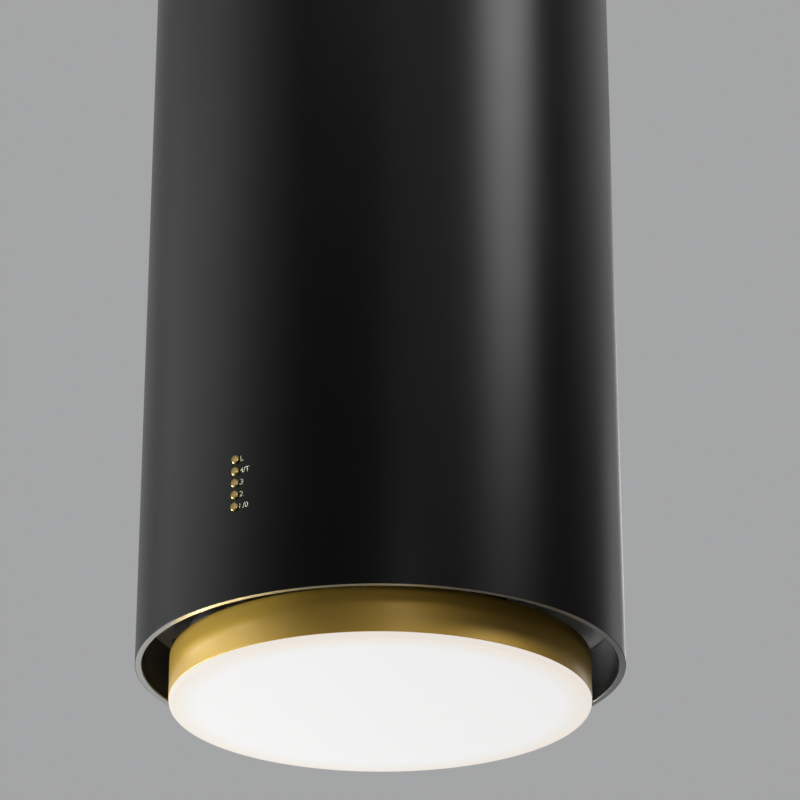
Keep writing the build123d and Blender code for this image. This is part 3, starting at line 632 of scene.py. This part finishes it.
# screws that hold the tube to the ceiling plate's tabs
casingScrews = {
    "count": 4,
    "radius": 2.0 * millimetre,
    "length": 5.3 * millimetre,
    "headRadius": 3.6 * millimetre,
    "headHeight": 2.2 * millimetre,
    "headEdge": 0.6 * millimetre,
    "tipEdge": 0.4 * millimetre,
    "socketDepth": 1.1 * millimetre,
    "segments": 48,
}

# push buttons: turned caps in a column left of the front
buttons = {
    "nodes": ["button_power", "button_speed_2", "button_speed_3", "button_speed_4", "button_light"],
    "bodies": ["power_button", "speed_2_button", "speed_3_button", "speed_4_button", "light_button"],
    "azimuth": math.radians(-124.37),
    "radius": 3.6 * millimetre,
    "bevel": 0.9 * millimetre,
    "edge": 0.18 * millimetre,
    "dish": 0.12 * millimetre,
    "dishAcross": 0.4,  # where the dish flattens out, in shares of the radius and of its depth
    "dishDown": 0.7,
    "flangeRadius": 4.6 * millimetre,
    "flangeWall": 1.3 * millimetre,
    "stemRadius": 1.5 * millimetre,
    "stemLength": 6.8 * millimetre,
    "proud": 1.8 * millimetre,
    "sunk": 1.65 * millimetre,
    "segments": 48,
}


def buttonHeight(node):
    low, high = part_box(node)
    return (low.z + high.z) / 2


def makeCasing(size):
    outer = tubeRadius
    inner = outer - size["wall"]
    rimTop = rimZ + size["wall"]
    lip = outer - size["lip"]
    corners = [
        (outer, rimZ, size["lipRound"] * size["lip"]),
        (outer, tubeHigh.z, size["topEdge"]), (inner, tubeHigh.z, size["topEdge"]),
        (inner, rimTop, 0), (lip, rimTop, 0), (lip, rimZ, 0),
    ]
    heights = sorted(buttonHeight(node) for node in buttons["nodes"])
    outwards = Vector((math.cos(buttons["azimuth"]), math.sin(buttons["azimuth"]), 0))
    first = outwards * (outer - size["wall"] / 2)
    piece = grow("casingTube", outlineMesh("casingOutline", roundedOutline(corners)), tubeTree, {
        "Segments": size["segments"],
        "Rail": outer,
        "Finish": finishes["casing_black"],
        "Holes": len(heights),
        "Hole radius": buttons["radius"] + size["holeGap"],
        "Hole depth": size["drillWalls"] * size["wall"],
        "First hole": (first.x, first.y, heights[0]),
        "Hole step": (0, 0, heights[1] - heights[0]),
        "Hole turn": (0, math.radians(90), buttons["azimuth"]),
    })
    squareToAxis(piece.data, outer, size["outerSlack"])
    wear(piece, "hood_body", "casing_black", "outer_tube")


def makeRim(size):
    outer = tubeRadius
    rimIn = outer - size["rimWidth"]
    hemOut = rimIn + size["wall"]
    rimTop = rimZ + size["wall"]
    hemTop = deckLow.z - size["hemJoint"]
    lip = outer - size["lip"]
    shapes = {
        "rimRing": (rimFinish, [
            (lip, rimZ, 0), (lip, rimTop, 0), (rimIn, rimTop, 0), (rimIn, rimZ, size["rimEdge"]),
        ]),
        "hem": (hemFinish, [
            (hemOut, rimTop, 0), (hemOut, hemTop, 0), (rimIn, hemTop, 0), (rimIn, rimTop, 0),
        ]),
    }
    for name, (finish, corners) in shapes.items():
        piece = grow(name, outlineMesh(name + "Outline", roundedOutline(corners)), turnedTree, {
            "Segments": size["segments"], "Rail": outer, "Finish": finish,
        })
        wear(piece, "hood_body", "casing_black")


def makeCasingScrews(size):
    low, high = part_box("casing_screws")
    corners = [
        (0, -size["length"], 0), (size["radius"], -size["length"], size["tipEdge"]), (size["radius"], 0, 0),
        (size["headRadius"], 0, 0), (size["headRadius"], size["headHeight"], size["headEdge"]),
        (0, size["headHeight"], 0),
    ]
    outline = outlineMesh("screwOutline", roundedOutline(corners), closed=False)
    piece = grow("casingScrews", outline, screwTree, {
        "Segments": size["segments"],
        "Rail": size["headRadius"],
        "Count": size["count"],
        "Radius": high.x - size["headHeight"],
        "Height": (low.z + high.z) / 2,
        "First angle": 0.0,
        "Socket radius": size["radius"],
        "Socket depth": size["socketDepth"],
        "Head": (0, 0, size["headHeight"]),
        "Finish": finishes["black_screw"],
    })
    wear(piece, "hood_body", "black_screw", "casing_screws")


def squareToAxis(mesh, radius, slack):
    # gives the outer wall exact round normals, so that the holes leave no mark in its gloss
    normals = [corner.vector.copy() for corner in mesh.corner_normals]
    for face in mesh.polygons:
        spots = [mesh.vertices[i].co for i in face.vertices]
        if any(abs(spot.to_2d().length - radius) > slack for spot in spots):
            continue
        for corner in face.loop_indices:
            spot = mesh.vertices[mesh.loops[corner].vertex_index].co
            normals[corner] = Vector((spot.x, spot.y, 0)).normalized()
    mesh.normals_split_custom_set(normals)


def makeButtons(size):
    face = tubeRadius + size["proud"]
    for node, body in zip(size["nodes"], size["bodies"]):
        back = face - size["proud"] - size["sunk"]
        flangeBack = back - size["flangeWall"]
        stemEnd = flangeBack - size["stemLength"]
        corners = [
            (0, stemEnd, 0), (size["stemRadius"], stemEnd, 0), (size["stemRadius"], flangeBack, 0),
            (size["flangeRadius"], flangeBack, 0), (size["flangeRadius"], back, 0),
            (size["radius"], back, 0), (size["radius"], face - size["bevel"], size["edge"]),
            (size["radius"] - size["bevel"], face, size["edge"]),
            (size["radius"] * size["dishAcross"], face - size["dish"] * size["dishDown"], 0),
            (0, face - size["dish"], 0),
        ]
        outline = outlineMesh(node + "Outline", roundedOutline(corners), closed=False)
        # the caps take the darker gold copy, whose darkness is painted shade
        piece = grow(node + "_cap", outline, turnedTree, {
            "Segments": size["segments"], "Rail": size["radius"], "Finish": shadedButtonFinish,
        })
        place = Matrix.Translation((0, 0, buttonHeight(node)))
        place = place @ Matrix.Rotation(size["azimuth"], 4, "Z") @ Matrix.Rotation(math.radians(90), 4, "Y")
        piece.data.transform(place)
        wear(piece, body, "satin_gold", node)


# legends printed beside the buttons, each with its width in millimetres
legends = {
    "marks": {
        "button_light": ("L", 3.1), "button_speed_4": ("4/T", 8.8), "button_speed_3": ("3", 3.2),
        "button_speed_2": ("2", 3.3), "button_power": ("I /0", 8.2),
    },
    "height": 4.4 * millimetre,
    "start": 4.6 * millimetre,
    "thickness": 0.03 * millimetre,
    "weight": 0.004,
    "curveSteps": 6,
    "weld": 1e-5,
}


def makeLegends(size):
    for node, (words, width) in size["marks"].items():
        letters = bpy.data.curves.new("legend", "FONT")
        letters.body = words
        letters.offset = size["weight"]
        letters.resolution_u = size["curveSteps"]
        holder = bpy.data.objects.new("legend", letters)
        scene.collection.objects.link(holder)
        state = holder.evaluated_get(bpy.context.evaluated_depsgraph_get())
        flat = bpy.data.meshes.new_from_object(state)
        bpy.data.objects.remove(holder)
        low = Vector([min(point.co[axis] for point in flat.vertices) for axis in range(3)])
        high = Vector([max(point.co[axis] for point in flat.vertices) for axis in range(3)])
        shape = bmesh.new()
        shape.from_mesh(flat)
        bmesh.ops.remove_doubles(shape, verts=shape.verts, dist=size["weld"])
        top = bmesh.ops.extrude_face_region(shape, geom=shape.faces[:])
        lifted = [item for item in top["geom"] if isinstance(item, bmesh.types.BMVert)]
        for point in shape.verts:
            along = (point.co.x - low.x) / (high.x - low.x) * width * millimetre + size["start"]
            up = ((point.co.y - low.y) / (high.y - low.y) - 0.5) * size["height"]
            angle = buttons["azimuth"] + along / tubeRadius
            reach = tubeRadius + (size["thickness"] if point in lifted else -size["thickness"])
            point.co = (reach * math.cos(angle), reach * math.sin(angle), buttonHeight(node) + up)
        bmesh.ops.recalc_face_normals(shape, faces=shape.faces)
        shape.to_mesh(flat)
        shape.free()
        piece = bpy.data.objects.new("legend_" + node, flat)
        scene.collection.objects.link(piece)
        flat.materials.clear()
        flat.materials.append(legendFinish)
        wear(piece, "hood_body", "satin_gold")


makeCasing(casing)
makeRim(casing)
makeCasingScrews(casingScrews)
makeButtons(buttons)
makeLegends(legends)
print("casing, screws, buttons and legends made")


# lamp: a gold drum with a lit opal panel
lamp = {
    "wall": 2.5 * millimetre,
    "flange": 24.0 * millimetre,
    "flangeWall": 2.0 * millimetre,
    "topEdge": 1.4 * millimetre,
    "lowEdge": 0.3 * millimetre,
    "panelEdge": 2.8 * millimetre,
    "panelWall": 3.0 * millimetre,
    "collarWall": 3.0 * millimetre,
    "fit": 0.3 * millimetre,
    "segments": 320,
}


def makeLamp(size):
    inner = lampRadius - size["wall"]
    flangeLow = lampHigh.z - size["flangeWall"]
    drum = roundedOutline([
        (lampRadius, lampLow.z, size["lowEdge"]), (lampRadius, lampHigh.z, size["topEdge"]),
        (lampRadius - size["flange"], lampHigh.z, 0), (lampRadius - size["flange"], flangeLow, 0),
        (inner, flangeLow, 0), (inner, lampLow.z, 0),
    ])
    piece = grow("lampDrum", outlineMesh("drumOutline", drum), turnedTree, {
        "Segments": size["segments"], "Rail": lampRadius, "Finish": finishes["satin_gold"],
    })
    wear(piece, "lamp", "satin_gold", "lamp_ring")
    rim = panelHigh.x
    collar = inner - size["fit"]
    collarIn = collar - size["collarWall"]
    panelTop = panelLow.z + size["panelWall"]
    panel = roundedOutline([
        (0, panelLow.z, 0), (rim, panelLow.z, size["panelEdge"]), (rim, lampLow.z, 0),
        (collar, lampLow.z, 0), (collar, panelHigh.z, 0), (collarIn, panelHigh.z, 0),
        (collarIn, panelTop, 0), (0, panelTop, 0),
    ])
    piece = grow("opalPanel", outlineMesh("panelOutline", panel, closed=False), turnedTree, {
        "Segments": size["segments"], "Rail": rim, "Finish": finishes["opal_diffuser"],
    })
    wear(piece, "lamp", "opal_diffuser", "diffuser")


makeLamp(lamp)
print("lamp made")


# soft studio light: aim is azimuth, from the front towards the right, and elevation, in degrees
coolTint = (0.92, 1, 0.95)
softboxes = {
    "rightStrip": {"aim": (62.5, 36), "distance": 3.2, "size": (1.6, 1.8), "watts": 113},
    "leftWall": {"aim": (-95, 20), "distance": 3.2, "size": (3.9, 2.5), "watts": 30},
    "leftHigh": {"aim": (-70, 33), "distance": 3.2, "size": (3.2, 2.2), "watts": 15},
    "frontTop": {"aim": (-10, 46), "distance": 3, "size": (2.6, 1.8), "watts": 16},
    "frontFill": {"aim": (25, 34), "distance": 3, "size": (2.8, 2), "watts": 14},
    "frontLow": {"aim": (12, 3), "distance": 3, "size": (0.7, 0.6), "watts": 10.5},
    "frontUnder": {"aim": (8, -17), "distance": 3, "size": (0.6, 0.4), "watts": 16},
    "farRight": {"aim": (128, 35), "distance": 3, "size": (3.2, 1.7), "watts": 6.4},
    "backRight": {"aim": (138, 13), "distance": 3, "size": (1.4, 1.3), "watts": 3.3},
    "lowRight": {"aim": (124, -6), "distance": 3, "size": (1, 0.7), "watts": 7},
    "edgeRight": {"aim": (166, 16), "distance": 3, "size": (0.9, 1.8), "watts": 16},
    "underBack": {"aim": (-150, -42), "distance": 2.4, "size": (0.9, 0.7), "watts": 36},
    "lowLeft": {"aim": (-73, -19), "distance": 3, "size": (2, 0.8), "watts": 47, "tint": coolTint},
    "lowSpot": {"aim": (-80, -22), "distance": 3, "size": (1.2, 0.6), "watts": 48, "tint": coolTint},
    "lowSide": {"aim": (-108, -18), "distance": 3, "size": (1.5, 0.85), "watts": 205, "tint": coolTint},
    "lowBackSide": {"aim": (-138, -20), "distance": 3, "size": (1.8, 1.1), "watts": 10},
    "lowBack": {"aim": (-166, -22), "distance": 3, "size": (1.2, 1.1), "watts": 2.7},
    "lowBackRight": {"aim": (170, -20), "distance": 3, "size": (1.2, 1.1), "watts": 0.8},
}
room = {
    "grey": (0.372, 0.375, 0.38),
    "dim": 0.15,
    "lightSide": (-0.5, 0.6, 0.6),
    "riseFrom": -0.2,
    "riseTo": 0.9,
    "fill": 0.12,
    "aimAboveRim": 0.25,
    "floorGrey": (0.28, 0.28, 0.28),
    "floorShade": 0.97,
    "floorGlow": 0.28,
    "floorDrop": 1.75,
    "floorSize": 60,
}


def featherLight(tree):
    # fades each softbox out towards its edges; the 4 brings its middle back to full strength
    place = tree.nodes.new("ShaderNodeNewGeometry")
    split = tree.nodes.new("ShaderNodeSeparateXYZ")
    tree.links.new(place.outputs["Parametric"], split.inputs[0])
    fades = []
    for axis in ("X", "Y"):
        rest = sums(tree, "SUBTRACT", 1.0, split.outputs[axis])
        fades.append(sums(tree, "MULTIPLY", sums(tree, "MULTIPLY", rest, split.outputs[axis]), 4.0))
    tree.links.new(sums(tree, "MULTIPLY", *fades), tree.nodes["Emission"].inputs["Strength"])


def makeLights():
    target = Vector((0, 0, rimZ + room["aimAboveRim"]))
    for name, box in softboxes.items():
        lamplet = bpy.data.lights.new(name, "AREA")
        lamplet.shape = "RECTANGLE"
        lamplet.size, lamplet.size_y = box["size"]
        lamplet.energy = box["watts"]
        lamplet.color = box.get("tint", (1, 1, 1))
        lamplet.use_nodes = True
        featherLight(lamplet.node_tree)
        holder = bpy.data.objects.new(name, lamplet)
        turn, lift = [math.radians(angle) for angle in box["aim"]]
        away = Vector((math.sin(turn) * math.cos(lift), -math.cos(turn) * math.cos(lift), math.sin(lift)))
        holder.location = target + away * box["distance"]
        holder.rotation_euler = away.to_track_quat("Z", "Y").to_euler()
        holder.visible_camera = False
        scene.collection.objects.link(holder)


def makeRoom():
    # the camera sees a plain grey wall, and gloss sees the same grey, dimmer in front than behind and above
    world = bpy.data.worlds.new("studio")
    scene.world = world
    world.use_nodes = True
    tree = world.node_tree
    tree.nodes.clear()
    wall = tree.nodes.new("ShaderNodeBackground")
    wall.inputs["Color"].default_value = (*room["grey"], 1)
    mirrored = tree.nodes.new("ShaderNodeBackground")
    place = tree.nodes.new("ShaderNodeTexCoord")
    toward = tree.nodes.new("ShaderNodeVectorMath")
    toward.operation = "DOT_PRODUCT"
    toward.inputs[1].default_value = Vector(room["lightSide"]).normalized()
    tree.links.new(place.outputs["Generated"], toward.inputs[0])
    rise = tree.nodes.new("ShaderNodeMapRange")
    rise.interpolation_type = "SMOOTHSTEP"
    rise.inputs["From Min"].default_value = room["riseFrom"]
    rise.inputs["From Max"].default_value = room["riseTo"]
    tree.links.new(toward.outputs["Value"], rise.inputs["Value"])
    dim = [part * room["dim"] for part in room["grey"]]
    shade = tint(tree, rise.outputs["Result"], [(0.0, dim), (1.0, room["grey"])])
    tree.links.new(shade, mirrored.inputs["Color"])
    fill = tree.nodes.new("ShaderNodeBackground")
    fill.inputs["Color"].default_value = (1, 1, 1, 1)
    fill.inputs["Strength"].default_value = room["fill"]
    path = tree.nodes.new("ShaderNodeLightPath")
    gloss = sums(tree, "ADD", path.outputs["Is Glossy Ray"], path.outputs["Is Transmission Ray"])
    soft = tree.nodes.new("ShaderNodeMixShader")
    seen = tree.nodes.new("ShaderNodeMixShader")
    out = tree.nodes.new("ShaderNodeOutputWorld")
    tree.links.new(gloss, soft.inputs["Fac"])
    tree.links.new(fill.outputs[0], soft.inputs[1])
    tree.links.new(mirrored.outputs[0], soft.inputs[2])
    tree.links.new(path.outputs["Is Camera Ray"], seen.inputs["Fac"])
    tree.links.new(soft.outputs[0], seen.inputs[1])
    tree.links.new(wall.outputs[0], seen.inputs[2])
    tree.links.new(seen.outputs[0], out.inputs["Surface"])


def makeFloor():
    plain = bpy.data.meshes.new("floor")
    half = room["floorSize"] / 2
    height = rimZ - room["floorDrop"]
    corners = [(-half, -half, height), (half, -half, height), (half, half, height), (-half, half, height)]
    plain.from_pydata(corners, [], [(0, 1, 2, 3)])
    floor = bpy.data.objects.new("floor", plain)
    scene.collection.objects.link(floor)
    finish, tree, skin = startFinish("floorPaint", room["floorGrey"], roughness=0.7)
    tone = grain(tree, surfacePoint(tree), 1.5, 4.0)
    low = [part * room["floorShade"] for part in room["floorGrey"]]
    colourBy(tree, skin, tone, [(0.3, low), (0.7, room["floorGrey"])])
    # the camera sees it pale and even, with a soft trace of the lights and the shadow
    gaze = tree.nodes.new("ShaderNodeLightPath")
    skin.inputs["Emission Color"].default_value = (*room["grey"], 1)
    glow = sums(tree, "MULTIPLY", gaze.outputs["Is Camera Ray"], room["floorGlow"] / room["grey"][0])
    tree.links.new(glow, skin.inputs["Emission Strength"])
    # from below the floor isn't shown
    side = tree.nodes.new("ShaderNodeNewGeometry")
    clear = tree.nodes.new("ShaderNodeBsdfTransparent")
    choose = tree.nodes.new("ShaderNodeMixShader")
    tree.links.new(side.outputs["Backfacing"], choose.inputs["Fac"])
    tree.links.new(skin.outputs[0], choose.inputs[1])
    tree.links.new(clear.outputs[0], choose.inputs[2])
    tree.links.new(choose.outputs[0], tree.nodes["Material Output"].inputs["Surface"])
    plain.materials.append(finish)


makeLights()
makeRoom()
makeFloor()
print("lights and room set")
